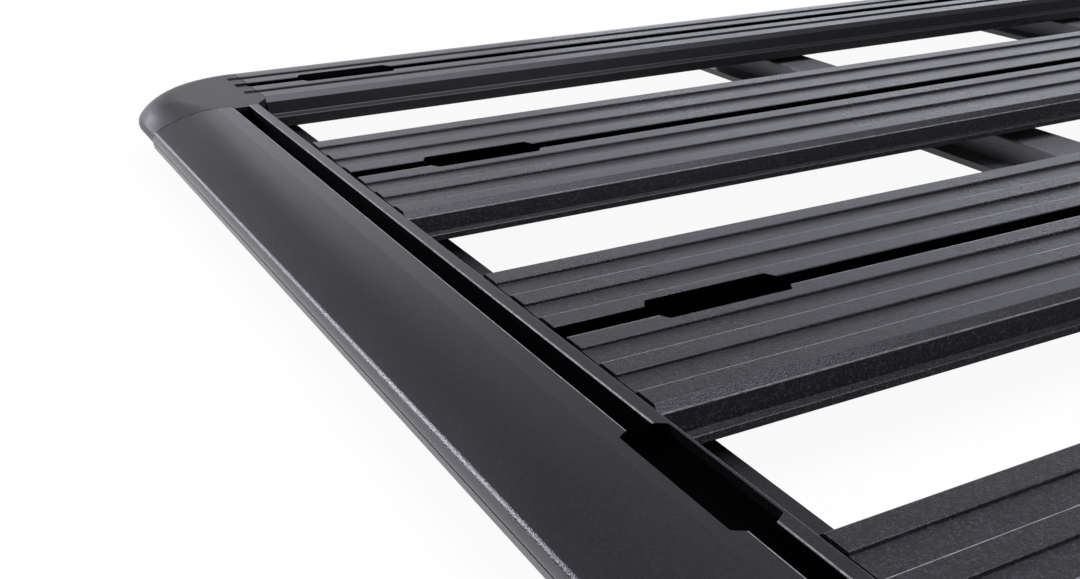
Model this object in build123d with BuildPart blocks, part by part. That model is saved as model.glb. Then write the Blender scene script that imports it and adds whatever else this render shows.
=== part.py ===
"""Flat platform roof rack: ribbed planks and smooth rails on hat-section beams. Millimetres, Z up."""

from build123d import *
from math import atan2, degrees, sqrt
import os

os.makedirs("parts", exist_ok=True)

# Layout of the deck
rack_length = 1508.0
plank_count = 7
plank_pitch = 146.0
side_slot_offset = 139.5
beam_count = 5
beam_pitch = 212.0

# T-slot shared by planks and rails
slot_width = 6.5
lip_thickness = 2.4
track_width = 12.5
track_depth = 5.6
track_floor = 1.8
drill_groove_width = 2.6
drill_groove_depth = 0.5

# Widened place in a slot where a bolt head drops in
entry_length = 48.5
entry_width = 13.0
entry_angle = 58.0
entry_corner_radius = 1.0
plank_entry_inset = 51.0
end_entry_y = 219.0

# Plank section
plank_width = 91.2
plank_height = 14.0
plank_chamfer = 2.1
wall = 1.8
rib_pitch = 16.5
rib_width = 7.0
first_rib_centre = 7.0
valleys_each_side = 2
valley_depth = 0.8
valley_wall_angle = 65.0
edge_radius = 0.5

# Flanged side shared by planks and side rails
side_slope = 2.3
side_edge_radius = 0.5
flange_depth = 7.0
flange_lean = 0.7
plank_flange_reach = 5.3
plank_flange_thickness = 1.8
plank_body_inset = 7.1
rail_flange_reach = 7.5
rail_flange_thickness = 4.1
rail_body_inset = 1.1

# Rounded nose shared by the rails and corners
nose_reach = 37.0
nose_radius = 3.5
nose_wall_inset = 0.3
nose_underside_run = 6.0
nose_wall_bottom = 12.8
end_crown_start = 10.0
end_crown_radius = 52.0
side_crown_start = 20.0
side_crown_radius = 21.0

# End rail section
lip_width = 4.4
ledge_reach = 18.6
ledge_thickness = 3.0
wall_groove_top = 9.9
wall_groove_height = 0.5
wall_groove_depth = 0.6
plank_end_gap = 1.0

# Side rail section
side_rail_inner_reach = 25.1
side_valley_width = 4.5

# Corner
corner_radius = 50.0
corner_seam_run = 19.1
seam_gap = 0.3
corner_wall = 3.0
corner_roof = 4.0
corner_nose_wall_bottom = 10.8
corner_cavity_radius = 30.0
corner_cavity_width = 20.0
core_overlap = 3.0
cavity_step = 7.0
shelf_lap = 4.0
notch_length = 5.5
spigot_length = 80.0
spigot_width = 16.0
spigot_top = 6.0
spigot_height = 4.5
spigot_start = 10.0
tongue_length = 3.0
tongue_clearance = 0.3

# Beam section
beam_height = 12.8
beam_wall = 2.6
beam_land = 23.3
beam_flange = 12.2
beam_edge_radius = 1.0
beam_end_inset = 16.0
beam_end_gap = 1.0

# Places that follow from the sizes above
deck_top = beam_height + plank_height
end_slot_x = rack_length / 2 - nose_reach
last_plank_y = plank_pitch * (plank_count - 1) / 2
side_slot_y = last_plank_y + side_slot_offset
lip_edge = slot_width / 2 + lip_width
ledge_edge = lip_edge + ledge_reach
plank_length = 2 * (end_slot_x - lip_edge - plank_end_gap)
entry_x = end_slot_x - lip_edge - plank_entry_inset
corner_x = end_slot_x + nose_reach - corner_radius
corner_y = side_slot_y + nose_reach - corner_radius
seam_y = corner_y - corner_seam_run
rail_floor = plank_height + ledge_thickness
valley_width = rib_pitch - rib_width
slot_depth = lip_thickness + track_depth
hollow_start = track_width / 2 + wall
hollow_top = valley_depth + wall
rail_body_reach = side_rail_inner_reach - rail_body_inset
beam_half_length = side_slot_y + nose_reach - beam_end_inset

TOP = (Align.CENTER, Align.MAX)
BOTTOM = (Align.CENTER, Align.MIN)
FRONT, REAR = Vector(-1, 0, 0), Vector(1, 0, 0)
LEFT, RIGHT = Vector(0, 1, 0), Vector(0, -1, 0)
UP = Vector(0, 0, 1)


def section_plane(x, y, outward):
    """Upright plane whose first axis points outward and whose origin is on the deck's top."""
    return Plane(origin=(x, y, deck_top), x_dir=outward, z_dir=outward.cross(UP))


def cut_track():
    """T-slot: a narrow mouth over a wider track, with a drill groove along its floor."""
    Rectangle(slot_width, lip_thickness, align=TOP, mode=Mode.SUBTRACT)
    with Locations((0, -lip_thickness)):
        Rectangle(track_width, track_depth, align=TOP, mode=Mode.SUBTRACT)
        Rectangle(drill_groove_width, track_depth + drill_groove_depth, align=TOP, mode=Mode.SUBTRACT)


def cut_void_below_track(floor_depth):
    """Hollow between the track's floor and the section's bottom wall."""
    top = slot_depth + track_floor
    with Locations((0, -top)):
        Rectangle(track_width, floor_depth - wall - top, align=TOP, mode=Mode.SUBTRACT)


def draw_valleys(centres, width, mode):
    """Sloped grooves that leave the ribs standing."""
    with Locations(*[(centre, 0) for centre in centres]):
        Trapezoid(
            width,
            valley_depth,
            valley_wall_angle,
            rotation=180,
            align=(Align.CENTER, Align.MIN),
            mode=mode,
        )


def flanged_side(edge, flange_reach, flange_thickness, body_inset):
    """Points down a plank's side: chamfer, sloped wall, flange and the narrower body below it."""
    flange_bottom = flange_depth + flange_thickness
    return [
        (edge - plank_chamfer, 0),
        (edge, -plank_chamfer),
        (edge + side_slope, -flange_depth),
        (edge + flange_reach, -flange_depth),
        (edge + flange_reach + flange_lean, -flange_bottom),
        (edge - body_inset, -flange_bottom),
        (edge - body_inset, -plank_height),
    ]


def cut_side_hollow(edge, body_inset, side):
    """Hollow between the track and a flanged side."""
    body_wall = edge - body_inset - wall
    outline = [
        (hollow_start, -hollow_top),
        (edge - wall, -hollow_top),
        (edge + side_slope - wall, -flange_depth),
        (body_wall, -flange_depth),
        (body_wall, wall - plank_height),
        (hollow_start, wall - plank_height),
    ]
    Polygon(*[(side * x, z) for x, z in outline], align=None, mode=Mode.SUBTRACT)


def draw_entry(turn):
    """Long hexagon over the slot, with its length turned by the given angle."""
    for side in (turn, turn + 180):
        Trapezoid(entry_length, entry_width / 2, entry_angle, rotation=side, align=(Align.CENTER, Align.MIN))


def draw_nose(crown_start, crown_radius, wall_bottom, shift=0.0):
    """Crown, nose, outer wall and underside, down to the rail's floor. Returns the last point."""
    centre = nose_reach - nose_radius
    height = sqrt((crown_radius - nose_radius) ** 2 - (centre - crown_start) ** 2)
    lean = degrees(atan2(centre - crown_start, height))
    CenterArc((crown_start + shift, -crown_radius), crown_radius, 90, -lean)
    nose = CenterArc((centre + shift, height - crown_radius), nose_radius, 90 - lean, lean - 90)
    wall_end = (nose_reach - nose_wall_inset + shift, -wall_bottom)
    last = (nose_reach - nose_underside_run + shift, -rail_floor)
    Polyline(nose @ 1, wall_end, last)
    return last


def draw_corner_outline(crown_start, crown_radius, shift=0.0):
    """Solid section of a corner, from its inner line out to the nose."""
    Line((0, 0), (crown_start + shift, 0))
    last = draw_nose(crown_start, crown_radius, corner_nose_wall_bottom, shift)
    Polyline(last, (0, -rail_floor), (0, 0))


# Planks
valley_centres = [first_rib_centre + rib_pitch * (step + 0.5) for step in range(valleys_each_side)]
for number in range(plank_count):
    plank_y = last_plank_y - plank_pitch * number
    with BuildPart() as plank:
        with BuildSketch(section_plane(0, plank_y, LEFT)) as section:
            with BuildLine():
                side_points = flanged_side(
                    plank_width / 2, plank_flange_reach, plank_flange_thickness, plank_body_inset
                )
                Polyline((0, 0), *side_points, (0, -plank_height))
                mirror(about=Plane.YZ)
            make_face()
            levels = section.vertices().group_by(Axis.Y)
            flange_tops = levels[-3].sort_by(Axis.X)
            fillet(levels[-2] + flange_tops[:1] + flange_tops[-1:], side_edge_radius)
            draw_valleys(
                [side * centre for side in (-1, 1) for centre in valley_centres], valley_width, Mode.SUBTRACT
            )
            cut_track()
            fillet(section.vertices().group_by(Axis.Y)[-1], edge_radius)
            cut_void_below_track(plank_height)
            for side in (-1, 1):
                cut_side_hollow(plank_width / 2, plank_body_inset, side)
        extrude(amount=plank_length / 2, both=True)
        with BuildSketch(Plane.XY.offset(deck_top)):
            with Locations((-entry_x, plank_y), (entry_x, plank_y)):
                draw_entry(0)
        extrude(amount=-lip_thickness, mode=Mode.SUBTRACT)
    plank.part.label = f"plank_{number + 1}"
    export_step(plank.part, f"parts/plank_{number + 1}.step")

# End rails
for name, outward in (("front", FRONT), ("rear", REAR)):
    slot_x = end_slot_x * outward.X
    with BuildPart() as end_rail:
        with BuildSketch(section_plane(slot_x, 0, outward)) as section:
            with BuildLine():
                Line((-lip_edge, 0), (end_crown_start, 0))
                last = draw_nose(end_crown_start, end_crown_radius, nose_wall_bottom)
                Polyline(
                    last,
                    (-ledge_edge, -rail_floor),
                    (-ledge_edge, -plank_height),
                    (-lip_edge, -plank_height),
                    (-lip_edge, 0),
                )
            make_face()
            with BuildSketch(mode=Mode.PRIVATE) as nose_space:
                with BuildLine():
                    Line((track_width / 2, 0), (end_crown_start, 0))
                    last = draw_nose(end_crown_start, end_crown_radius, nose_wall_bottom)
                    Polyline(last, (track_width / 2, -rail_floor), (track_width / 2, 0))
                make_face()
                offset(amount=-wall, mode=Mode.REPLACE)
            add(nose_space.sketch, mode=Mode.SUBTRACT)
            cut_track()
            fillet(section.vertices().group_by(Axis.Y)[-1].sort_by(Axis.X)[:-1], edge_radius)
            cut_void_below_track(rail_floor)
            with Locations((nose_reach, -wall_groove_top)):
                Rectangle(2 * wall_groove_depth, wall_groove_height, align=TOP, mode=Mode.SUBTRACT)
        extrude(amount=seam_y - seam_gap, both=True)
        with BuildSketch(Plane.XY.offset(deck_top)) as entries:
            with Locations((slot_x, -end_entry_y), (slot_x, end_entry_y)):
                draw_entry(90)
            fillet(entries.vertices(), entry_corner_radius)
        extrude(amount=-lip_thickness, mode=Mode.SUBTRACT)
    end_rail.part.label = f"end_rail_{name}"
    export_step(end_rail.part, f"parts/end_rail_{name}.step")

# Side rails
beam_stop = nose_reach - beam_end_inset + beam_end_gap
side_valley_centre = first_rib_centre + rib_width / 2 + side_valley_width / 2
for name, outward in (("left", LEFT), ("right", RIGHT)):
    slot_y = side_slot_y * outward.Y
    with BuildPart() as side_rail:
        with BuildSketch(section_plane(0, slot_y, outward)) as section:
            with BuildLine():
                side_points = flanged_side(
                    side_rail_inner_reach, rail_flange_reach, rail_flange_thickness, rail_body_inset
                )
                inner_points = [(-x, z) for x, z in side_points]
                Line(inner_points[0], (side_crown_start, 0))
                last = draw_nose(side_crown_start, side_crown_radius, nose_wall_bottom)
                Polyline(last, (beam_stop, -rail_floor), (beam_stop, -plank_height), *reversed(inner_points))
            make_face()
            fillet(section.vertices().sort_by(Axis.X)[1:4], side_edge_radius)
            with BuildSketch(mode=Mode.PRIVATE) as nose_space:
                with BuildLine():
                    Line((track_width / 2, 0), (side_crown_start, 0))
                    last = draw_nose(side_crown_start, side_crown_radius, nose_wall_bottom)
                    Polyline(
                        last,
                        (beam_stop, -rail_floor),
                        (beam_stop, -plank_height),
                        (track_width / 2, -plank_height),
                        (track_width / 2, 0),
                    )
                make_face()
                offset(amount=-hollow_top, kind=Kind.INTERSECTION, mode=Mode.REPLACE)
            add(nose_space.sketch, mode=Mode.SUBTRACT)
            cut_side_hollow(side_rail_inner_reach, rail_body_inset, -1)
            draw_valleys([-side_valley_centre, side_valley_centre], side_valley_width, Mode.SUBTRACT)
            cut_track()
            fillet(section.vertices().group_by(Axis.Y)[-1].sort_by(Axis.X)[:-1], edge_radius)
            cut_void_below_track(plank_height)
        extrude(amount=corner_x - seam_gap, both=True)
        with BuildSketch(Plane.XY.offset(deck_top)):
            with Locations((-entry_x, slot_y), (entry_x, slot_y)):
                draw_entry(0)
        extrude(amount=-lip_thickness, mode=Mode.SUBTRACT)
    side_rail.part.label = f"side_rail_{name}"
    export_step(side_rail.part, f"parts/side_rail_{name}.step")

# Corners
radial_shift = corner_radius - nose_reach
for end_name, end_outward in (("front", FRONT), ("rear", REAR)):
    for side_name, side_outward in (("left", LEFT), ("right", RIGHT)):
        end_sign, side_sign = end_outward.X, side_outward.Y
        centre_x, centre_y = corner_x * end_sign, corner_y * side_sign
        slot_x, slot_y = end_slot_x * end_sign, side_slot_y * side_sign
        seam = seam_y * side_sign
        with BuildPart() as corner:
            # Bend, with the side rail's crown
            with BuildSketch(section_plane(centre_x, centre_y, side_outward)):
                with BuildLine():
                    draw_corner_outline(side_crown_start, side_crown_radius, radial_shift)
                make_face()
            revolve(axis=Axis((centre_x, centre_y, 0), (0, 0, -end_sign * side_sign)), revolution_arc=90)
            # Straight run that eases into the end rail's crown
            with BuildSketch(section_plane(slot_x, centre_y, end_outward)):
                with BuildLine():
                    draw_corner_outline(side_crown_start, side_crown_radius)
                make_face()
            with BuildSketch(section_plane(slot_x, seam, end_outward)):
                with BuildLine():
                    draw_corner_outline(end_crown_start, end_crown_radius)
                make_face()
            loft()
            # Flat top inside the bend, and the shelf that carries the ledge on to the side rail
            with BuildSketch(Plane.XY.offset(deck_top)):
                with BuildLine():
                    Polyline(
                        (slot_x - lip_edge * end_sign, seam),
                        (slot_x + end_crown_start * end_sign, seam),
                        (slot_x + end_crown_start * end_sign, centre_y + core_overlap * side_sign),
                        (centre_x, centre_y + core_overlap * side_sign),
                        (centre_x, slot_y - side_rail_inner_reach * side_sign),
                        close=True,
                    )
                make_face()
            extrude(amount=-rail_floor)
            shelf_end = slot_y - (rail_body_reach - shelf_lap) * side_sign
            with BuildSketch(Plane.XY.offset(deck_top - plank_height)):
                with BuildLine():
                    Polyline(
                        (slot_x - ledge_edge * end_sign, seam),
                        (slot_x - lip_edge * end_sign, seam),
                        (slot_x - lip_edge * end_sign, shelf_end),
                        (slot_x - ledge_edge * end_sign, shelf_end),
                        close=True,
                    )
                make_face()
            extrude(amount=-ledge_thickness)
            # Hollow underneath
            with BuildSketch(Plane.XY.offset(deck_top - rail_floor)):
                with BuildLine():
                    cavity_far_x = centre_x + corner_cavity_radius * end_sign
                    cavity_near_x = centre_x + corner_wall * end_sign
                    cavity_near_y = seam + corner_wall * side_sign
                    cavity_far_y = centre_y + corner_cavity_width * side_sign
                    Polyline(
                        (cavity_near_x, cavity_near_y + cavity_step * side_sign),
                        (slot_x, cavity_near_y),
                        (cavity_far_x, cavity_near_y),
                        (cavity_far_x, cavity_far_y),
                        (cavity_near_x, cavity_far_y),
                        close=True,
                    )
                make_face()
            extrude(amount=rail_floor - corner_roof, mode=Mode.SUBTRACT)
            # Spigots inside the rails, and a tongue that closes the end rail's slot
            for origin_x, origin_y, outward, into_rail in (
                (slot_x, seam, end_outward, -side_outward),
                (centre_x, slot_y, side_outward, -end_outward),
            ):
                with BuildSketch(section_plane(origin_x, origin_y, outward)):
                    with Locations((spigot_start + spigot_width / 2, -spigot_top)):
                        Rectangle(spigot_width, spigot_height, align=TOP)
                extrude(amount=spigot_length, dir=into_rail)
            with BuildSketch(section_plane(slot_x, seam, end_outward)):
                Rectangle(slot_width - 2 * tongue_clearance, lip_thickness - tongue_clearance, align=TOP)
            extrude(amount=tongue_length, dir=-side_outward)
            # Notches where the side rail's slot and valleys run out
            with BuildSketch(section_plane(centre_x, slot_y, side_outward)):
                Rectangle(slot_width, valley_depth, align=TOP)
                draw_valleys([-side_valley_centre, side_valley_centre], side_valley_width, Mode.ADD)
            extrude(amount=notch_length, dir=end_outward, mode=Mode.SUBTRACT)
        corner.part.label = f"corner_{end_name}_{side_name}"
        export_step(corner.part, f"parts/corner_{end_name}_{side_name}.step")

# Beams
for number in range(beam_count):
    beam_x = beam_pitch * (number - (beam_count - 1) / 2)
    with BuildPart() as beam:
        with BuildSketch(Plane(origin=(beam_x, 0, 0), x_dir=REAR, z_dir=REAR.cross(UP))) as section:
            Rectangle(beam_land + 2 * beam_flange, beam_wall, align=BOTTOM)
            Rectangle(beam_land, beam_height, align=BOTTOM)
            Rectangle(beam_land - 2 * beam_wall, beam_height - beam_wall, align=BOTTOM, mode=Mode.SUBTRACT)
            fillet(section.vertices().group_by(Axis.Y)[-1], beam_edge_radius)
        extrude(amount=beam_half_length, both=True)
    beam.part.label = f"beam_{number + 1}"
    export_step(beam.part, f"parts/beam_{number + 1}.step")
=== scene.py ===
"""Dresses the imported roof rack: powder coat, moulded corners, fasteners, studio and camera."""

import math

import bmesh
import bpy
from bpy.props import FloatProperty, FloatVectorProperty, IntProperty, PointerProperty
from mathutils import Matrix, Vector


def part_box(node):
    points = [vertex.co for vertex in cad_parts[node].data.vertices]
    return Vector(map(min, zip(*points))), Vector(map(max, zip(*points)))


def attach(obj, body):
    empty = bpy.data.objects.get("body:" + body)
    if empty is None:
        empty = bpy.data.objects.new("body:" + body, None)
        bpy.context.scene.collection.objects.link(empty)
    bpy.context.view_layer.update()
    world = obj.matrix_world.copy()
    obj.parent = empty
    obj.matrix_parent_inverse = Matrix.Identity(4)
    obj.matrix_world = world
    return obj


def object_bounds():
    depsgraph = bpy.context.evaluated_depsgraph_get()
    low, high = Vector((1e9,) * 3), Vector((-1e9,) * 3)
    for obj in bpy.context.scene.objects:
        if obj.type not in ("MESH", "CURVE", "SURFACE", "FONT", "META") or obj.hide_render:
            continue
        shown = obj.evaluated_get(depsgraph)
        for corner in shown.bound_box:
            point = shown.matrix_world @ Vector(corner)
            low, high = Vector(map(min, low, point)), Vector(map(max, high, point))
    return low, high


bl_info = {
    "name": "Platform Roof Rack",
    "version": (1, 0, 0),
    "blender": (4, 5, 0),
    "location": "3D View > Sidebar > Roof Rack",
    "description": "Finishes a flat platform roof rack and sets its studio",
    "category": "Object",
}

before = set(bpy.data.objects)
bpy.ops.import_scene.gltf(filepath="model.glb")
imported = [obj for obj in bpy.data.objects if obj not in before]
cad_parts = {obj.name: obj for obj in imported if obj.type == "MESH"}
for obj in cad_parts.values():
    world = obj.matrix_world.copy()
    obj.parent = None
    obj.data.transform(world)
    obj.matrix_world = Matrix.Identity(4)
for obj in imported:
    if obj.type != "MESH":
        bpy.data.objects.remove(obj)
cad_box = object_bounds()

PLANKS = sorted(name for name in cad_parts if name.startswith("plank_"))
SIDE_RAILS = sorted(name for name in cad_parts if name.startswith("side_rail_"))
END_RAILS = sorted(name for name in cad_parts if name.startswith("end_rail_"))
CORNERS = sorted(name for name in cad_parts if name.startswith("corner_"))
BEAMS = sorted(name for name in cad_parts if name.startswith("beam_"))

# Grain, flecks, painted shade and painted highlights
GRAIN_GROUP = "Surface Grain"
PAINTED_LIGHT_GROUP = "Painted Shade And Light"
GRAIN_DETAIL = 2.0
GRAIN_ROUGHNESS = 0.55
FLECK_SHARPNESS = 4.0
CLOUD_SCALE = 14.0
CLOUD_DETAIL = 4.0
GLOSS_SPREAD = 0.05
HIGHLIGHT_PATCH_SCALE = 500.0

# Bolts
STEEL_SHADE = 0.8
STEEL_GLOSS = (0.3, 0.5)
HEAD_SIDES = 6
HEAD_CHAMFER_SHARE = 6
HEAD_CHAMFER_SEGMENTS = 2
LEVEL_TOLERANCE = 1e-6

# Room and camera
ROOM_DIM_HEIGHT = 0.28
ROOM_BEHIND_RANGE = (-0.6, 0.2)
SENSOR_WIDTH_MM = 36.0
CAMERA_CLIP = 0.01


class RackFinish(bpy.types.PropertyGroup):
    """Colours and grain of the coated, moulded and plated surfaces, with painted shade in the slots and
    painted highlights and reflection on the planks and rails.
    """

    coat_colour: FloatVectorProperty(
        name="Coat Colour",
        description="Body colour of the charcoal powder coat",
        subtype="COLOR",
        size=4,
        min=0.0,
        max=1.0,
        default=(0.006, 0.006, 0.0066, 1.0),
    )
    fleck_colour: FloatVectorProperty(
        name="Fleck Colour",
        description="Paler grains that show in the powder coat",
        subtype="COLOR",
        size=4,
        min=0.0,
        max=1.0,
        default=(0.056, 0.058, 0.07, 1.0),
    )
    plank_flecks: FloatProperty(
        name="Plank Flecks",
        description="Strength of the pale grains on the planks and beams",
        subtype="FACTOR",
        min=0.0,
        max=1.0,
        default=0.6,
    )
    rail_flecks: FloatProperty(
        name="Rail Flecks",
        description="Strength of the pale grains on the smoother rails and corners",
        subtype="FACTOR",
        min=0.0,
        max=1.0,
        default=0.14,
    )
    gloss_tint: FloatVectorProperty(
        name="Gloss Tint",
        description="Slightly cool tint of the gloss on coat and plastic",
        subtype="COLOR",
        size=4,
        min=0.0,
        max=1.0,
        default=(0.93, 0.93, 1.0, 1.0),
    )
    coat_roughness: FloatProperty(
        name="Coat Roughness",
        description="Mean roughness of the powder coat",
        subtype="FACTOR",
        min=0.0,
        max=1.0,
        default=0.28,
    )
    coat_grain: FloatProperty(
        name="Coat Grain",
        description="Width of one grain of the powder coat",
        subtype="DISTANCE",
        unit="LENGTH",
        min=0.0001,
        max=0.005,
        default=0.00048,
    )
    coat_relief: FloatProperty(
        name="Coat Relief",
        description="Height of the powder coat's grain",
        subtype="DISTANCE",
        unit="LENGTH",
        min=0.0,
        max=0.001,
        default=0.0001,
    )
    rail_relief: FloatProperty(
        name="Rail Relief",
        description="Height of the grain on the smoother rails",
        subtype="DISTANCE",
        unit="LENGTH",
        min=0.0,
        max=0.001,
        default=0.00005,
    )
    slot_shade_colour: FloatVectorProperty(
        name="Slot Shade Colour",
        # Painted shade inside the slots: near-black dull metal
        description="Colour of the dull black metal inside the slots",
        subtype="COLOR",
        size=4,
        min=0.0,
        max=1.0,
        default=(0.003, 0.003, 0.0033, 1.0),
    )
    slot_roughness: FloatProperty(
        name="Slot Roughness",
        description="Roughness of the slots' insides",
        subtype="FACTOR",
        min=0.0,
        max=1.0,
        default=1.0,
    )
    slot_reach: FloatProperty(
        name="Slot Reach",
        description="Distance from a slot's middle line to the side of its track",
        subtype="DISTANCE",
        unit="LENGTH",
        default=0.0065,
    )
    slot_inset: FloatProperty(
        name="Slot Inset",
        description="Distance of a rail's slot from the rail's outer face",
        subtype="DISTANCE",
        unit="LENGTH",
        default=0.037,
    )
    slot_edge: FloatProperty(
        name="Slot Edge",
        # Height of a slot's rounded lip, above which the painted shade stops
        description="Height of a slot's rounded lip, which keeps the coat",
        subtype="DISTANCE",
        unit="LENGTH",
        default=0.0003,
    )
    nose_depth: FloatProperty(
        name="Nose Depth",
        description="How far the rubbed outer wall reaches round a rail's nose",
        # How far the painted reflection on the outer wall reaches round a rail's nose
        subtype="DISTANCE",
        unit="LENGTH",
        default=0.0008,
    )
    wall_reflection: FloatProperty(
        name="Wall Reflection",
        # Strength of the painted reflection that makes a rail's outer wall paler
        description="How far the coat is rubbed pale on a rail's outer wall",
        subtype="FACTOR",
        min=0.0,
        max=1.0,
        default=0.2,
    )
    lip_edge: FloatProperty(
        name="Lip Edge",
        # Distance of an end rail's painted lip highlight from its slot's middle line
        description="Distance of an end rail's worn lip from its slot's middle line",
        subtype="DISTANCE",
        unit="LENGTH",
        default=0.0036,
    )
    valley_middle: FloatProperty(
        name="Valley Middle",
        description="Distance of a plank's first valley from its slot's middle line",
        subtype="DISTANCE",
        unit="LENGTH",
        default=0.01525,
    )
    valley_half: FloatProperty(
        name="Valley Half",
        description="Distance of a rib's worn edge from the middle of its valley",
        # Distance of a rib's painted edge highlight from the middle of its valley
        subtype="DISTANCE",
        unit="LENGTH",
        default=0.0049,
    )
    rib_pitch: FloatProperty(
        name="Rib Pitch",
        description="Distance from one rib to the next on a plank",
        subtype="DISTANCE",
        unit="LENGTH",
        default=0.0165,
    )
    plank_side: FloatProperty(
        name="Plank Side",
        description="Distance of a plank's last rib from its slot's middle line",
        subtype="DISTANCE",
        unit="LENGTH",
        default=0.042,
    )
    chamfer_height: FloatProperty(
        name="Chamfer Height",
        description="Height of the chamfer along a plank's sides",
        subtype="DISTANCE",
        unit="LENGTH",
        default=0.00215,
    )
    highlight_width: FloatProperty(
        name="Highlight Width",
        # Width of a painted highlight along an edge
        description="Width of the thin coat along an edge",
        subtype="DISTANCE",
        unit="LENGTH",
        default=0.0004,
    )
    painted_light_colour: FloatVectorProperty(
        name="Painted Light Colour",
        # Colour of the painted highlights along edges and of the painted reflection on the rails' outer
        # walls
        description="Colour of the thin coat along an edge",
        subtype="COLOR",
        size=4,
        min=0.0,
        max=1.0,
        default=(0.4, 0.4, 0.4, 1.0),
    )
    beam_brightened_colour: FloatVectorProperty(
        name="Beam Brightened Colour",
        # Paler body colour of the cross beams, painted light that brightens them in the deck's shade
        description="Paler body colour of the cross beams",
        subtype="COLOR",
        size=4,
        min=0.0,
        max=1.0,
        default=(0.125, 0.125, 0.13, 1.0),
    )
    plastic_colour: FloatVectorProperty(
        name="Plastic Colour",
        description="Body colour of the moulded corners",
        subtype="COLOR",
        size=4,
        min=0.0,
        max=1.0,
        default=(0.014, 0.014, 0.0152, 1.0),
    )
    plastic_roughness: FloatProperty(
        name="Plastic Roughness",
        description="Mean roughness of the moulded corners",
        subtype="FACTOR",
        min=0.0,
        max=1.0,
        default=0.42,
    )
    plastic_grain: FloatProperty(
        name="Plastic Grain",
        description="Width of one grain of the moulded corners",
        subtype="DISTANCE",
        unit="LENGTH",
        min=0.0001,
        max=0.005,
        default=0.00024,
    )
    plastic_relief: FloatProperty(
        name="Plastic Relief",
        description="Height of the moulded corners' grain",
        subtype="DISTANCE",
        unit="LENGTH",
        min=0.0,
        max=0.001,
        default=0.000025,
    )
    steel_colour: FloatVectorProperty(
        name="Steel Colour",
        description="Colour of the zinc-plated fasteners",
        subtype="COLOR",
        size=4,
        min=0.0,
        max=1.0,
        default=(0.52, 0.53, 0.55, 1.0),
    )


class RackFasteners(bpy.types.PropertyGroup):
    """Bolts that hold the planks down on the beams."""

    head_across_flats: FloatProperty(
        name="Head Across Flats",
        description="Width of a bolt's hexagon head",
        subtype="DISTANCE",
        unit="LENGTH",
        default=0.008,
    )
    head_height: FloatProperty(
        name="Head Height",
        description="Height of a bolt's hexagon head",
        subtype="DISTANCE",
        unit="LENGTH",
        default=0.0035,
    )
    washer_diameter: FloatProperty(
        name="Washer Diameter",
        description="Outside diameter of a bolt's washer",
        subtype="DISTANCE",
        unit="LENGTH",
        default=0.01,
    )
    washer_thickness: FloatProperty(
        name="Washer Thickness",
        description="Thickness of a bolt's washer",
        subtype="DISTANCE",
        unit="LENGTH",
        default=0.001,
    )
    offset_on_plank: FloatProperty(
        name="Offset On Plank",
        description="Distance of a bolt from the plank's middle line",
        subtype="DISTANCE",
        unit="LENGTH",
        default=0.024,
    )
    beam_land_thickness: FloatProperty(
        name="Beam Land Thickness",
        description="Thickness of the beam's top that a bolt clamps",
        subtype="DISTANCE",
        unit="LENGTH",
        default=0.0026,
    )
    washer_segments: IntProperty(
        name="Washer Segments",
        description="Number of sides that make a washer round",
        min=8,
        max=64,
        default=20,
    )


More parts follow.
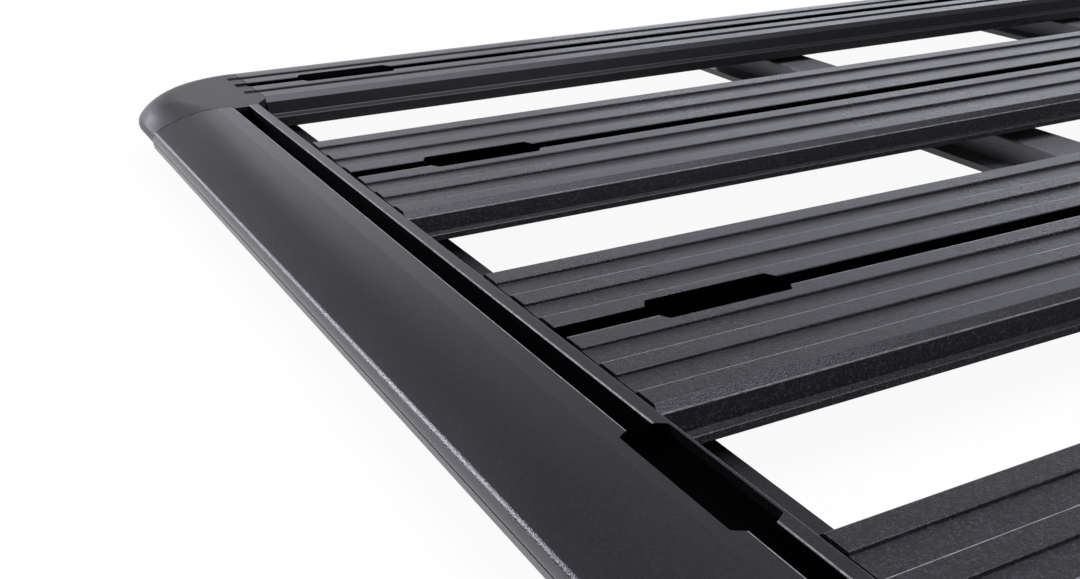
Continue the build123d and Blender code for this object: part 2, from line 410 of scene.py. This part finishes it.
class RackStage(bpy.types.PropertyGroup):
    """Floor, light and camera of the studio."""

    floor_colour: FloatVectorProperty(
        name="Floor Colour",
        description="Colour of the pale studio floor",
        subtype="COLOR",
        size=4,
        min=0.0,
        max=1.0,
        default=(0.9, 0.9, 0.9, 1.0),
    )
    floor_size: FloatProperty(
        name="Floor Size",
        description="Side of the square floor",
        subtype="DISTANCE",
        unit="LENGTH",
        default=60.0,
    )
    floor_glow: FloatProperty(
        name="Floor Glow",
        description="Share of plain white that the camera sees on the floor, over the shadow",
        subtype="FACTOR",
        min=0.0,
        max=1.0,
        default=0.94,
    )
    room_top: FloatProperty(
        name="Room Top",
        description="Brightness of the room overhead, where the horizon is 1",
        subtype="FACTOR",
        min=0.0,
        max=1.0,
        default=0.43,
    )
    room_behind: FloatProperty(
        name="Room Behind",
        description="Brightness of the room behind the viewer, where the far side is 1",
        subtype="FACTOR",
        min=0.0,
        max=1.0,
        default=0.2,
    )
    side_light: FloatProperty(
        name="Side Light",
        description="Power of the lamp beyond the front corner",
        subtype="POWER",
        unit="POWER",
        min=0.0,
        default=9.0,
    )
    far_light: FloatProperty(
        name="Far Light",
        description="Power of the second lamp beyond the front corner, further back",
        subtype="POWER",
        unit="POWER",
        min=0.0,
        default=2.2,
    )
    left_light: FloatProperty(
        name="Left Light",
        description="Power of the weak soft light behind the front corner",
        subtype="POWER",
        unit="POWER",
        min=0.0,
        default=0.8,
    )
    back_light: FloatProperty(
        name="Back Light",
        description="Power of the wide soft light behind the deck, on the right",
        subtype="POWER",
        unit="POWER",
        min=0.0,
        default=3.8,
    )
    top_light: FloatProperty(
        name="Top Light",
        description="Power of the soft light overhead",
        subtype="POWER",
        unit="POWER",
        min=0.0,
        default=53.0,
    )
    fill_light: FloatProperty(
        name="Fill Light",
        description="Power of the soft light behind the viewer's right shoulder",
        subtype="POWER",
        unit="POWER",
        min=0.0,
        default=8.0,
    )
    light_colour: FloatVectorProperty(
        name="Light Colour",
        description="Slightly cool colour of the room and the lamps",
        subtype="COLOR",
        size=3,
        min=0.0,
        max=1.0,
        default=(0.925, 0.92, 1.0),
    )
    back_colour: FloatVectorProperty(
        name="Back Colour",
        description="Cooler colour of the light behind the deck",
        subtype="COLOR",
        size=3,
        min=0.0,
        max=1.0,
        default=(0.87, 0.93, 1.0),
    )
    camera_place: FloatVectorProperty(
        name="Camera Place",
        description="Where the camera stands",
        subtype="TRANSLATION",
        unit="LENGTH",
        size=3,
        default=(-0.8547, 0.0355, 0.1666),
    )
    camera_turn: FloatVectorProperty(
        name="Camera Turn",
        description="Pitch, roll and heading of the camera",
        subtype="EULER",
        unit="ROTATION",
        size=3,
        default=(math.radians(66.568), math.radians(-0.088), math.radians(-28.666)),
    )
    camera_lens: FloatProperty(
        name="Camera Lens",
        description="Focal length in millimetres on a sensor 36 mm wide",
        min=1.0,
        default=42.44,
    )


# Materials


def grain_group():
    """Shader group: flecks, slow tone and fine height of a grained surface, from Object coordinates."""
    group = bpy.data.node_groups.new(GRAIN_GROUP, "ShaderNodeTree")
    group.interface.new_socket("Grain Size", in_out="INPUT", socket_type="NodeSocketFloat")
    for name in ("Fleck", "Tone", "Height"):
        group.interface.new_socket(name, in_out="OUTPUT", socket_type="NodeSocketFloat")
    nodes, links = group.nodes, group.links
    inlet = nodes.new("NodeGroupInput")
    outlet = nodes.new("NodeGroupOutput")
    place = nodes.new("ShaderNodeTexCoord")

    scale = nodes.new("ShaderNodeMath")
    scale.operation = "DIVIDE"
    scale.inputs[0].default_value = 1.0
    links.new(inlet.outputs["Grain Size"], scale.inputs[1])

    grain = nodes.new("ShaderNodeTexNoise")
    grain.inputs["Detail"].default_value = GRAIN_DETAIL
    grain.inputs["Roughness"].default_value = GRAIN_ROUGHNESS
    links.new(place.outputs["Object"], grain.inputs["Vector"])
    links.new(scale.outputs[0], grain.inputs["Scale"])

    flecks = nodes.new("ShaderNodeTexVoronoi")
    links.new(place.outputs["Object"], flecks.inputs["Vector"])
    links.new(scale.outputs[0], flecks.inputs["Scale"])
    chance = nodes.new("ShaderNodeSeparateColor")
    links.new(flecks.outputs["Color"], chance.inputs["Color"])
    fleck_mask = nodes.new("ShaderNodeMath")
    fleck_mask.operation = "POWER"
    fleck_mask.inputs[1].default_value = FLECK_SHARPNESS
    links.new(chance.outputs["Red"], fleck_mask.inputs[0])

    cloud = nodes.new("ShaderNodeTexNoise")
    cloud.inputs["Scale"].default_value = CLOUD_SCALE
    cloud.inputs["Detail"].default_value = CLOUD_DETAIL
    links.new(place.outputs["Object"], cloud.inputs["Vector"])

    links.new(fleck_mask.outputs[0], outlet.inputs["Fleck"])
    links.new(cloud.outputs["Fac"], outlet.inputs["Tone"])
    links.new(grain.outputs["Fac"], outlet.inputs["Height"])
    return group


def shared_grain():
    """The one grain group, made on first use."""
    return bpy.data.node_groups.get(GRAIN_GROUP) or grain_group()


def grained_material(name, finish, colour, flecks, roughness, grain, relief):
    """Opaque painted or moulded surface with flecks, slow changes of gloss and a fine relief."""
    material = bpy.data.materials.new(name)
    material.use_nodes = True
    nodes, links = material.node_tree.nodes, material.node_tree.links
    surface = nodes["Principled BSDF"]
    surface.inputs["Specular Tint"].default_value = finish.gloss_tint

    texture = nodes.new("ShaderNodeGroup")
    texture.node_tree = shared_grain()
    texture.inputs["Grain Size"].default_value = grain

    share = nodes.new("ShaderNodeMath")
    share.operation = "MULTIPLY"
    share.inputs[1].default_value = flecks
    links.new(texture.outputs["Fleck"], share.inputs[0])
    mix = nodes.new("ShaderNodeMix")
    mix.data_type = "RGBA"
    mix.inputs["A"].default_value = colour
    mix.inputs["B"].default_value = finish.fleck_colour
    links.new(share.outputs[0], mix.inputs["Factor"])
    links.new(mix.outputs["Result"], surface.inputs["Base Color"])

    gloss = nodes.new("ShaderNodeMapRange")
    gloss.inputs["To Min"].default_value = roughness - GLOSS_SPREAD
    gloss.inputs["To Max"].default_value = roughness + GLOSS_SPREAD
    links.new(texture.outputs["Tone"], gloss.inputs["Value"])
    links.new(gloss.outputs["Result"], surface.inputs["Roughness"])

    bump = nodes.new("ShaderNodeBump")
    bump.inputs["Distance"].default_value = relief
    links.new(texture.outputs["Height"], bump.inputs["Height"])
    links.new(bump.outputs["Normal"], surface.inputs["Normal"])
    return material


def painted_light_group():
    """Shader group: painted shade inside the slots, painted highlights on edges beside parallel slots
    and a painted reflection on the rails' outer walls, from Object coordinates.

    An input that a material leaves at 0 switches that painted mark off.
    """
    group = bpy.data.node_groups.new(PAINTED_LIGHT_GROUP, "ShaderNodeTree")
    for name in ("Line", "Pitch", "Reach", "Top", "Valley Middle", "Valley Half", "Rib Pitch"):
        group.interface.new_socket(name, in_out="INPUT", socket_type="NodeSocketFloat")
    for name in ("Along Y", "Both Edges", "Side", "Chamfer", "Width", "Outer Wall", "Rub"):
        group.interface.new_socket(name, in_out="INPUT", socket_type="NodeSocketFloat")
    for name in ("Inside", "Painted Light"):
        group.interface.new_socket(name, in_out="OUTPUT", socket_type="NodeSocketFloat")
    nodes, links = group.nodes, group.links
    given = nodes.new("NodeGroupInput").outputs
    outlet = nodes.new("NodeGroupOutput")

    def step(operation, *values):
        node = nodes.new("ShaderNodeMath")
        node.operation = operation
        for socket, value in zip(node.inputs, values):
            if isinstance(value, float):
                socket.default_value = value
            else:
                links.new(value, socket)
        return node.outputs[0]

    def folded(value, pitch):
        return step("WRAP", value, step("MULTIPLY", pitch, 0.5), step("MULTIPLY", pitch, -0.5))

    place = nodes.new("ShaderNodeTexCoord")
    axes = nodes.new("ShaderNodeSeparateXYZ")
    links.new(place.outputs["Object"], axes.inputs["Vector"])
    across = nodes.new("ShaderNodeMix")
    links.new(given["Along Y"], across.inputs["Factor"])
    links.new(axes.outputs["Y"], across.inputs["A"])
    links.new(axes.outputs["X"], across.inputs["B"])

    # Painted shade inside the slot, below the lip
    offset = folded(step("SUBTRACT", across.outputs["Result"], given["Line"]), given["Pitch"])
    away = step("ABSOLUTE", offset)
    below = step("LESS_THAN", axes.outputs["Z"], given["Top"])
    links.new(step("MULTIPLY", step("LESS_THAN", away, given["Reach"]), below), outlet.inputs["Inside"])

    # Painted highlights on the +Y-facing edge of each rib, or on both edges of a lip
    from_valley = folded(step("SUBTRACT", away, given["Valley Middle"]), given["Rib Pitch"])
    turned = step("MULTIPLY", from_valley, step("SIGN", offset))
    near_edge = step("COMPARE", turned, step("MULTIPLY", given["Valley Half"], -1.0), given["Width"])
    far_edge = step("COMPARE", turned, given["Valley Half"], given["Width"])
    either = step("MAXIMUM", near_edge, step("MULTIPLY", far_edge, given["Both Edges"]))
    on_top = step("MULTIPLY", step("SUBTRACT", 1.0, below), step("LESS_THAN", away, given["Side"]))

    # Painted highlight along the foot of the chamfer on the sides
    foot = step("COMPARE", axes.outputs["Z"], given["Chamfer"], given["Width"])
    beyond = step("GREATER_THAN", away, given["Side"])
    lines = step("MAXIMUM", step("MULTIPLY", either, on_top), step("MULTIPLY", foot, beyond))
    # Patches make the painted highlights uneven
    patches = nodes.new("ShaderNodeTexNoise")
    patches.inputs["Scale"].default_value = HIGHLIGHT_PATCH_SCALE
    links.new(place.outputs["Object"], patches.inputs["Vector"])
    highlight_lines = step("MULTIPLY", lines, patches.outputs["Fac"])

    # Painted reflection: the outer wall of a rail is made paler
    outer = step("MULTIPLY", step("GREATER_THAN", away, given["Outer Wall"]), below)
    links.new(step("MAXIMUM", highlight_lines, step("MULTIPLY", outer, given["Rub"])), outlet.inputs["Painted Light"])
    return group


def paint_light_and_shade(material, finish, places):
    """Paints highlights along edges and a paler outer wall as a painted reflection, and paints shade
    inside the slots as near-black dull metal.
    """
    nodes, links = material.node_tree.nodes, material.node_tree.links
    surface = nodes["Principled BSDF"]
    painted_light = nodes.new("ShaderNodeGroup")
    painted_light.node_tree = bpy.data.node_groups.get(PAINTED_LIGHT_GROUP) or painted_light_group()
    painted_light.inputs["Reach"].default_value = finish.slot_reach
    painted_light.inputs["Width"].default_value = finish.highlight_width / 2
    for name, value in places.items():
        painted_light.inputs[name].default_value = value

    def lay_over(socket, mask, value):
        mix = nodes.new("ShaderNodeMix")
        mix.data_type = "FLOAT" if isinstance(value, float) else "RGBA"
        mix.inputs["B"].default_value = value
        links.new(painted_light.outputs[mask], mix.inputs["Factor"])
        links.new(surface.inputs[socket].links[0].from_socket, mix.inputs["A"])
        links.new(mix.outputs["Result"], surface.inputs[socket])

    # Painted highlights along edges and painted reflection on the outer walls, in the painted light
    # colour
    lay_over("Base Color", "Painted Light", finish.painted_light_colour)
    # Painted shade: the slots' insides are made near-black, fully rough and metallic, darker than the
    # coat
    lay_over("Base Color", "Inside", finish.slot_shade_colour)
    lay_over("Roughness", "Inside", finish.slot_roughness)
    links.new(painted_light.outputs["Inside"], surface.inputs["Metallic"])


def dress(names, material):
    """Gives a material to the CAD nodes of these names."""
    for name in names:
        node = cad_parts[name]
        if not node.material_slots:
            node.data.materials.append(material)
        for slot in node.material_slots:
            slot.material = material


class RACK_OT_coat_deck(bpy.types.Operator):
    """Coats the planks and rails in textured charcoal powder, with painted shade in the slots, painted
    highlights on edges and a painted reflection on the rails' outer walls
    """

    bl_idname = "rack.coat_deck"
    bl_label = "Coat Planks and Rails"

    def execute(self, context):
        finish = context.scene.rack_finish
        high = cad_box[1]
        top = high.z - finish.slot_edge
        lines = [sum(corner.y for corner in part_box(name)) / 2 for name in PLANKS]
        side_line = high.y - finish.slot_inset
        end_line = high.x - finish.slot_inset
        # Places of the painted slot shade and painted edge highlights on the planks
        plank_edges = {
            "Line": lines[0],
            "Pitch": abs(lines[0] - lines[1]),
            "Top": top,
            "Valley Middle": finish.valley_middle,
            "Valley Half": finish.valley_half,
            "Rib Pitch": finish.rib_pitch,
            "Side": finish.plank_side,
            "Chamfer": high.z - finish.chamfer_height,
        }
        # Painted reflection: a paler outer wall on the rails
        outer_wall = {
            "Outer Wall": finish.slot_inset - finish.nose_depth,
            "Rub": finish.wall_reflection,
        }
        side_slot = {"Line": side_line, "Pitch": 2 * side_line, "Top": top, **outer_wall}
        end_edges = {
            "Line": end_line,
            "Pitch": 2 * end_line,
            "Top": top,
            "Along Y": 1.0,
            "Valley Half": finish.lip_edge,
            "Rib Pitch": 2 * end_line,
            "Both Edges": 1.0,
            "Side": finish.slot_inset,
            **outer_wall,
        }
        coats = (
            ("plank_coat", PLANKS, finish.plank_flecks, finish.coat_relief, plank_edges),
            ("side_rail_coat", SIDE_RAILS, finish.rail_flecks, finish.rail_relief, side_slot),
            ("end_rail_coat", END_RAILS, finish.rail_flecks, finish.rail_relief, end_edges),
        )
        for name, nodes, flecks, relief, places in coats:
            coat = grained_material(
                name,
                finish,
                colour=finish.coat_colour,
                flecks=flecks,
                roughness=finish.coat_roughness,
                grain=finish.coat_grain,
                relief=relief,
            )
            paint_light_and_shade(coat, finish, places)
            dress(nodes, coat)
        return {"FINISHED"}


class RACK_OT_coat_beams(bpy.types.Operator):
    """Coats the hat-section cross beams in a paler powder, painted light that brightens them in the
    deck's shade
    """

    bl_idname = "rack.coat_beams"
    bl_label = "Coat Beams"

    def execute(self, context):
        finish = context.scene.rack_finish
        coat = grained_material(
            "beam_coat",
            finish,
            colour=finish.beam_brightened_colour,
            flecks=finish.plank_flecks,
            roughness=finish.coat_roughness,
            grain=finish.coat_grain,
            relief=finish.coat_relief,
        )
        dress(BEAMS, coat)
        return {"FINISHED"}


class RACK_OT_mould_corners(bpy.types.Operator):
    """Gives the four corners their satin moulded plastic"""

    bl_idname = "rack.mould_corners"
    bl_label = "Finish Corners"

    def execute(self, context):
        finish = context.scene.rack_finish
        plastic = grained_material(
            "corner_plastic",
            finish,
            colour=finish.plastic_colour,
            flecks=finish.rail_flecks,
            roughness=finish.plastic_roughness,
            grain=finish.plastic_grain,
            relief=finish.plastic_relief,
        )
        dress(CORNERS, plastic)
        return {"FINISHED"}


# Fasteners


def bolt_shape(sizes):
    """Mesh of one bolt head on its washer, hanging down from the origin."""
    bm = bmesh.new()
    washer_radius = sizes.washer_diameter / 2
    bmesh.ops.create_cone(
        bm,
        cap_ends=True,
        segments=sizes.washer_segments,
        radius1=washer_radius,
        radius2=washer_radius,
        depth=sizes.washer_thickness,
        matrix=Matrix.Translation((0, 0, -sizes.washer_thickness / 2)),
    )
    head_radius = sizes.head_across_flats / 2 / math.cos(math.pi / HEAD_SIDES)
    head_middle = -sizes.washer_thickness - sizes.head_height / 2
    head = bmesh.ops.create_cone(
        bm,
        cap_ends=True,
        segments=HEAD_SIDES,
        radius1=head_radius,
        radius2=head_radius,
        depth=sizes.head_height,
        matrix=Matrix.Translation((0, 0, head_middle)),
    )
    lowest = min(vert.co.z for vert in head["verts"])
    rim = {
        edge
        for vert in head["verts"]
        for edge in vert.link_edges
        if all(abs(end.co.z - lowest) < LEVEL_TOLERANCE for end in edge.verts)
    }
    bmesh.ops.bevel(
        bm,
        geom=list(rim),
        offset=sizes.head_height / HEAD_CHAMFER_SHARE,
        offset_type="OFFSET",
        affect="EDGES",
        segments=HEAD_CHAMFER_SEGMENTS,
        profile=0.5,
        material=-1,
    )
    mesh = bpy.data.meshes.new("bolt_shape")
    bm.to_mesh(mesh)
    bm.free()
    return mesh


def set_bolts(name, shape, places, material):
    """One piece that holds a bolt at each place, riding on the rack."""
    bm = bmesh.new()
    for place in places:
        known = set(bm.verts)
        bm.from_mesh(shape)
        fresh = [vert for vert in bm.verts if vert not in known]
        bmesh.ops.translate(bm, verts=fresh, vec=place)
    mesh = bpy.data.meshes.new(name)
    bm.to_mesh(mesh)
    bm.free()
    mesh.materials.append(material)
    piece = bpy.data.objects.new(name, mesh)
    bpy.context.scene.collection.objects.link(piece)
    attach(piece, "root")


def plated_steel(finish):
    """Zinc-plated steel with a soft, uneven shine."""
    material = bpy.data.materials.new("zinc_plated_steel")
    material.use_nodes = True
    nodes, links = material.node_tree.nodes, material.node_tree.links
    surface = nodes["Principled BSDF"]
    surface.inputs["Metallic"].default_value = 1.0
    texture = nodes.new("ShaderNodeGroup")
    texture.node_tree = shared_grain()
    texture.inputs["Grain Size"].default_value = finish.coat_grain
    tint = nodes.new("ShaderNodeMix")
    tint.data_type = "RGBA"
    tint.inputs["A"].default_value = finish.steel_colour
    tint.inputs["B"].default_value = [STEEL_SHADE * value for value in finish.steel_colour[:3]] + [1.0]
    links.new(texture.outputs["Height"], tint.inputs["Factor"])
    links.new(tint.outputs["Result"], surface.inputs["Base Color"])
    gloss = nodes.new("ShaderNodeMapRange")
    gloss.inputs["To Min"].default_value = STEEL_GLOSS[0]
    gloss.inputs["To Max"].default_value = STEEL_GLOSS[1]
    links.new(texture.outputs["Height"], gloss.inputs["Value"])
    links.new(gloss.outputs["Result"], surface.inputs["Roughness"])
    return material


class RACK_OT_set_bolts(bpy.types.Operator):
    """Sets the bolts inside the hat-section beams, under each plank"""

    bl_idname = "rack.set_bolts"
    bl_label = "Set Bolts"

    def execute(self, context):
        sizes = context.scene.rack_fasteners
        shape = bolt_shape(sizes)
        steel = plated_steel(context.scene.rack_finish)
        plank_lines = [sum(corner.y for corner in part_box(name)) / 2 for name in PLANKS]
        bolt_lines = [line + side * sizes.offset_on_plank for line in plank_lines for side in (-1, 1)]
        for name in BEAMS:
            low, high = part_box(name)
            middle = (low.x + high.x) / 2
            under_land = high.z - sizes.beam_land_thickness
            places = [Vector((middle, line, under_land)) for line in bolt_lines]
            set_bolts(f"{name}_bolts", shape, places, steel)
        bpy.data.meshes.remove(shape)
        return {"FINISHED"}


# Studio


def soft_light(name, place, aim, size, power, colour):
    """Rectangular soft light that faces a point."""
    lamp = bpy.data.lights.new(name, "AREA")
    lamp.shape = "RECTANGLE"
    lamp.size, lamp.size_y = size
    lamp.energy = power
    lamp.color = colour
    holder = bpy.data.objects.new(name, lamp)
    holder.location = place
    holder.rotation_euler = (Vector(aim) - Vector(place)).to_track_quat("-Z", "Y").to_euler()
    holder.visible_camera = False
    bpy.context.scene.collection.objects.link(holder)


def seen_directly(nodes, links):
    """Value that is 1 for rays from the camera, from a gloss or through glass, and 0 for soft light."""
    path = nodes.new("ShaderNodeLightPath")
    first = nodes.new("ShaderNodeMath")
    first.operation = "MAXIMUM"
    links.new(path.outputs["Is Camera Ray"], first.inputs[0])
    links.new(path.outputs["Is Glossy Ray"], first.inputs[1])
    second = nodes.new("ShaderNodeMath")
    second.operation = "MAXIMUM"
    links.new(first.outputs[0], second.inputs[0])
    links.new(path.outputs["Is Transmission Ray"], second.inputs[1])
    return second.outputs[0]


def floor_material(stage):
    """Pale floor that the camera sees as white, with the rack's shadow kept."""
    material = bpy.data.materials.new("studio_floor")
    material.use_nodes = True
    nodes, links = material.node_tree.nodes, material.node_tree.links
    nodes.remove(nodes["Principled BSDF"])
    matte = nodes.new("ShaderNodeBsdfDiffuse")
    matte.inputs["Color"].default_value = stage.floor_colour
    glow = nodes.new("ShaderNodeEmission")
    share = nodes.new("ShaderNodeMath")
    share.operation = "MULTIPLY"
    share.inputs[1].default_value = stage.floor_glow
    links.new(seen_directly(nodes, links), share.inputs[0])
    mix = nodes.new("ShaderNodeMixShader")
    links.new(share.outputs[0], mix.inputs["Fac"])
    links.new(matte.outputs[0], mix.inputs[1])
    links.new(glow.outputs[0], mix.inputs[2])
    links.new(mix.outputs[0], nodes["Material Output"].inputs["Surface"])
    return material


def white_room(stage):
    """World that is white round the horizon and dims overhead and behind the viewer."""
    world = bpy.data.worlds.new("white_room")
    world.use_nodes = True
    nodes, links = world.node_tree.nodes, world.node_tree.links
    room = nodes["Background"]
    room.inputs["Color"].default_value = tuple(stage.light_colour) + (1.0,)
    view = nodes.new("ShaderNodeTexCoord")
    axes = nodes.new("ShaderNodeSeparateXYZ")
    links.new(view.outputs["Generated"], axes.inputs["Vector"])
    overhead = nodes.new("ShaderNodeMapRange")
    overhead.inputs["From Max"].default_value = ROOM_DIM_HEIGHT
    overhead.inputs["To Min"].default_value = 1.0
    overhead.inputs["To Max"].default_value = stage.room_top
    links.new(axes.outputs["Z"], overhead.inputs["Value"])
    behind = nodes.new("ShaderNodeMapRange")
    behind.inputs["From Min"].default_value = ROOM_BEHIND_RANGE[0]
    behind.inputs["From Max"].default_value = ROOM_BEHIND_RANGE[1]
    behind.inputs["To Min"].default_value = stage.room_behind
    behind.inputs["To Max"].default_value = 1.0
    links.new(axes.outputs["Y"], behind.inputs["Value"])
    strength = nodes.new("ShaderNodeMath")
    strength.operation = "MULTIPLY"
    links.new(overhead.outputs["Result"], strength.inputs[0])
    links.new(behind.outputs["Result"], strength.inputs[1])
    links.new(strength.outputs[0], room.inputs["Strength"])
    return world


class RACK_OT_set_stage(bpy.types.Operator):
    """Lays the floor, hangs the lights and places the camera"""

    bl_idname = "rack.set_stage"
    bl_label = "Set Stage"

    def execute(self, context):
        stage = context.scene.rack_stage
        bm = bmesh.new()
        bmesh.ops.create_grid(bm, x_segments=1, y_segments=1, size=stage.floor_size / 2)
        mesh = bpy.data.meshes.new("floor")
        bm.to_mesh(mesh)
        bm.free()
        mesh.materials.append(floor_material(stage))
        floor = bpy.data.objects.new("floor", mesh)
        context.scene.collection.objects.link(floor)

        soft_light(
            "side_light",
            place=(-1.5, 1.55, 0.75),
            aim=(-0.74, 0.3, 0.03),
            size=(0.3, 0.3),
            power=stage.side_light,
            colour=stage.light_colour,
        )
        soft_light(
            "far_light",
            place=(-1.29, 2.28, 0.62),
            aim=(-0.74, 0.45, 0.03),
            size=(0.3, 0.3),
            power=stage.far_light,
            colour=stage.light_colour,
        )
        soft_light(
            "left_light",
            place=(-0.05, 2.41, 0.63),
            aim=(-0.7, 0.4, 0.03),
            size=(0.7, 0.5),
            power=stage.left_light,
            colour=stage.light_colour,
        )
        soft_light(
            "fill_light",
            place=(0.65, -0.75, 1.85),
            aim=(-0.5, 0.3, 0.03),
            size=(0.6, 0.6),
            power=stage.fill_light,
            colour=stage.light_colour,
        )
        soft_light(
            "back_light",
            place=(1.29, 1.86, 0.35),
            aim=(-0.5, 0.3, 0.03),
            size=(2.2, 0.28),
            power=stage.back_light,
            colour=stage.back_colour,
        )
        soft_light(
            "top_light",
            place=(-0.25, 0.2, 2.4),
            aim=(-0.25, 0.0, 0.0),
            size=(1.9, 2.0),
            power=stage.top_light,
            colour=stage.light_colour,
        )
        context.scene.world = white_room(stage)
        context.scene.view_settings.view_transform = "Standard"

        lens = bpy.data.cameras.new("camera")
        lens.sensor_width = SENSOR_WIDTH_MM
        lens.lens = stage.camera_lens
        lens.clip_start = CAMERA_CLIP
        camera = bpy.data.objects.new("camera", lens)
        camera.location = stage.camera_place
        camera.rotation_euler = stage.camera_turn
        context.scene.collection.objects.link(camera)
        context.scene.camera = camera
        return {"FINISHED"}


class RACK_PT_panel(bpy.types.Panel):
    """Steps that finish the roof rack, in order"""

    bl_idname = "RACK_PT_panel"
    bl_label = "Roof Rack"
    bl_space_type = "VIEW_3D"
    bl_region_type = "UI"
    bl_category = "Roof Rack"

    def draw(self, context):
        for operator in OPERATORS:
            self.layout.operator(operator.bl_idname)


GROUPS = (RackFinish, RackFasteners, RackStage)
OPERATORS = (
    RACK_OT_coat_deck,
    RACK_OT_coat_beams,
    RACK_OT_mould_corners,
    RACK_OT_set_bolts,
    RACK_OT_set_stage,
)


def register():
    for cls in GROUPS + OPERATORS + (RACK_PT_panel,):
        bpy.utils.register_class(cls)
    bpy.types.Scene.rack_finish = PointerProperty(type=RackFinish)
    bpy.types.Scene.rack_fasteners = PointerProperty(type=RackFasteners)
    bpy.types.Scene.rack_stage = PointerProperty(type=RackStage)


def unregister():
    del bpy.types.Scene.rack_stage
    del bpy.types.Scene.rack_fasteners
    del bpy.types.Scene.rack_finish
    for cls in reversed(GROUPS + OPERATORS + (RACK_PT_panel,)):
        bpy.utils.unregister_class(cls)


def main():
    register()
    bpy.ops.rack.coat_deck()
    bpy.ops.rack.coat_beams()
    bpy.ops.rack.mould_corners()
    bpy.ops.rack.set_bolts()
    bpy.ops.rack.set_stage()


if __name__ == "__main__":
    main()
